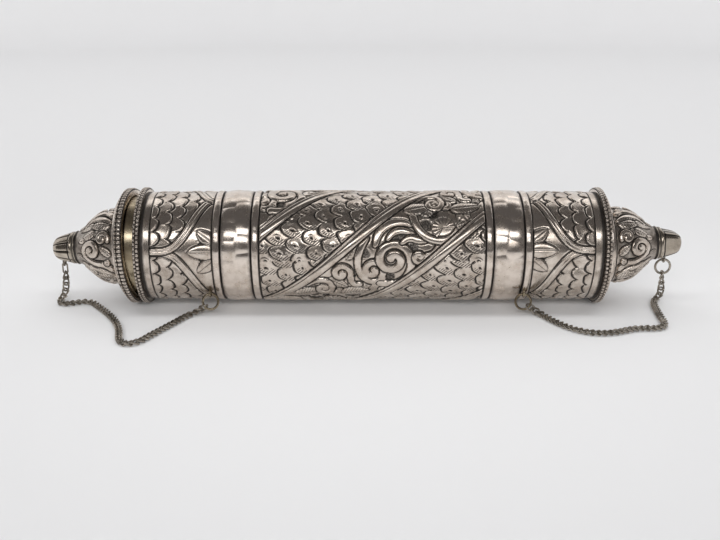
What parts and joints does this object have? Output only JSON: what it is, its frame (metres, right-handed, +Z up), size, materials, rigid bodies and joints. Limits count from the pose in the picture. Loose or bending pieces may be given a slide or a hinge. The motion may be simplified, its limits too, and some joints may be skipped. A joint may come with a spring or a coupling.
{
  "type": "mezuzah case",
  "caption": "Round chased-silver mezuzah case lying on its side, with domed bud-tipped pull-off caps, each tethered to the tube by a fine curb chain.",
  "frame": {"origin": "on the table directly below the middle of the tube's axis, where the two flanges' rims stand", "axes": "+X along the tube from the cocked cap's end to the other end, -Y to the front where the chains lie, +Z up"},
  "size_m": [0.1886, 0.055, 0.0346],
  "materials": {
    "chased_silver": "polished repousse silver with dark oxidised recesses",
    "gilt_sleeve": "polished, pale gilt",
    "bud_silver": "worn and darkened silver with a gilt tinge",
    "case_ring_wire": "drawn wire, yellowish",
    "chain_silver": "oxidised silver wire, bright on its high points"
  },
  "bodies": {
    "case": {"case_tube": "chased_silver", "left_body_flange": "chased_silver", "right_body_flange": "chased_silver", "left_case_lug": "chain_silver", "right_case_lug": "chain_silver"},
    "left_sleeve": {"left_collar": "gilt_sleeve"},
    "left_cap": {"left_cap_flange": "chased_silver", "left_cap_foot": "chased_silver", "left_cap_dome": "chased_silver", "left_cap_bud": "bud_silver", "left_bud_lug": "chain_silver", "left_bud_ring": "chain_silver"},
    "left_chain_drop": {"left_chain_drop": "chain_silver"},
    "right_cap": {"right_cap_sleeve": "gilt_sleeve", "right_cap_foot": "chased_silver", "right_cap_dome": "chased_silver", "right_cap_bud": "bud_silver", "right_bud_lug": "chain_silver", "right_bud_ring": "chain_silver", "right_chain_drop": "chain_silver"},
    "left_chain_1": {"left_case_ring": "case_ring_wire", "left_chain_1": "chain_silver"},
    "left_chain_2": {"left_chain_2": "chain_silver"},
    "left_chain_3": {"left_chain_3": "chain_silver"},
    "left_chain_4": {"left_chain_4": "chain_silver"},
    "left_chain_5": {"left_chain_5": "chain_silver"},
    "left_chain_6": {"left_chain_6": "chain_silver"},
    "right_chain_1": {"right_case_ring": "case_ring_wire", "right_chain_1": "chain_silver"},
    "right_chain_2": {"right_chain_2": "chain_silver"},
    "right_chain_3": {"right_chain_3": "chain_silver"},
    "right_chain_4": {"right_chain_4": "chain_silver"},
    "right_chain_5": {"right_chain_5": "chain_silver"},
    "right_chain_6": {"right_chain_6": "chain_silver"}
  },
  "joints": [
    {"name": "left_cap_pull", "type": "slide", "parent": "case", "child": "left_sleeve", "axis": [-1, 0, 0], "range_m": [0, 0.008]},
    {"name": "left_cap_rock", "type": "hinge", "parent": "left_sleeve", "child": "left_cap", "pos_m": [-0.0682, 0.01278, 0.00579], "axis": [0, 0.6691, 0.7431], "range_deg": [0, 5]},
    {"name": "right_cap_pull", "type": "slide", "parent": "case", "child": "right_cap", "axis": [1, 0, 0], "range_m": [0, 0.008]},
    {"name": "left_chain_1_swing", "type": "hinge", "parent": "case", "child": "left_chain_1", "pos_m": [-0.047, -0.01272, 0.0008], "axis": [0, 0, 1], "range_deg": [-8, 0]},
    {"name": "left_chain_2_swing", "type": "hinge", "parent": "left_chain_1", "child": "left_chain_2", "pos_m": [-0.05612, -0.02153, 0.0008], "axis": [0, 0, 1], "range_deg": [-5, 0]},
    {"name": "left_chain_3_swing", "type": "hinge", "parent": "left_chain_2", "child": "left_chain_3", "pos_m": [-0.06155, -0.03285, 0.0008], "axis": [0, 0, 1], "range_deg": [0, 14]},
    {"name": "left_chain_4_swing", "type": "hinge", "parent": "left_chain_3", "child": "left_chain_4", "pos_m": [-0.06926, -0.03249, 0.0008], "axis": [0, 0, 1], "range_deg": [0, 12]},
    {"name": "left_chain_5_swing", "type": "hinge", "parent": "left_chain_4", "child": "left_chain_5", "pos_m": [-0.07318, -0.0206, 0.0008], "axis": [0, 0, 1], "range_deg": [-3, 0]},
    {"name": "left_chain_6_swing", "type": "hinge", "parent": "left_chain_5", "child": "left_chain_6", "pos_m": [-0.08104, -0.00862, 0.0008], "axis": [0, 0, 1], "range_deg": [-11, 0]},
    {"name": "right_chain_1_swing", "type": "hinge", "parent": "case", "child": "right_chain_1", "pos_m": [0.044, -0.01272, 0.0008], "axis": [0, 0, 1], "range_deg": [0, 12]},
    {"name": "right_chain_2_swing", "type": "hinge", "parent": "right_chain_1", "child": "right_chain_2", "pos_m": [0.05232, -0.02147, 0.0008], "axis": [0, 0, 1], "range_deg": [-2, 0]},
    {"name": "right_chain_3_swing", "type": "hinge", "parent": "right_chain_2", "child": "right_chain_3", "pos_m": [0.06077, -0.02933, 0.0008], "axis": [0, 0, 1], "range_deg": [-14, 0]},
    {"name": "right_chain_4_swing", "type": "hinge", "parent": "right_chain_3", "child": "right_chain_4", "pos_m": [0.07205, -0.02679, 0.0008], "axis": [0, 0, 1], "range_deg": [-3, 0]},
    {"name": "right_chain_5_swing", "type": "hinge", "parent": "right_chain_4", "child": "right_chain_5", "pos_m": [0.08246, -0.02308, 0.0008], "axis": [0, 0, 1], "range_deg": [-8, 0]},
    {"name": "right_chain_6_swing", "type": "hinge", "parent": "right_chain_5", "child": "right_chain_6", "pos_m": [0.08356, -0.01301, 0.0008], "axis": [0, 0, 1], "range_deg": [-2, 0]},
    {"name": "left_chain_drop_lift", "type": "hinge", "parent": "left_chain_6", "child": "left_chain_drop", "pos_m": [-0.08952, -0.00541, 0.0008], "axis": [0.8693, 0.4931, -0.0347], "range_deg": [0, 13]}
  ],
  "couplings": [
    {"joint": "left_chain_1_swing", "follows": "left_cap_pull", "rad_per_m": -17.3},
    {"joint": "left_chain_2_swing", "follows": "left_cap_pull", "rad_per_m": -10.1},
    {"joint": "left_chain_3_swing", "follows": "left_cap_pull", "rad_per_m": 29.4},
    {"joint": "left_chain_4_swing", "follows": "left_cap_pull", "rad_per_m": 24.9},
    {"joint": "left_chain_5_swing", "follows": "left_cap_pull", "rad_per_m": -4.9},
    {"joint": "left_chain_6_swing", "follows": "left_cap_pull", "rad_per_m": -22},
    {"joint": "right_chain_1_swing", "follows": "right_cap_pull", "rad_per_m": 24.6},
    {"joint": "right_chain_2_swing", "follows": "right_cap_pull", "rad_per_m": -4.2},
    {"joint": "right_chain_3_swing", "follows": "right_cap_pull", "rad_per_m": -29.8},
    {"joint": "right_chain_4_swing", "follows": "right_cap_pull", "rad_per_m": -5.5},
    {"joint": "right_chain_5_swing", "follows": "right_cap_pull", "rad_per_m": -16.2},
    {"joint": "right_chain_6_swing", "follows": "right_cap_pull", "rad_per_m": -3},
    {"joint": "left_chain_drop_lift", "follows": "left_cap_rock", "ratio": 2.497}
  ]
}
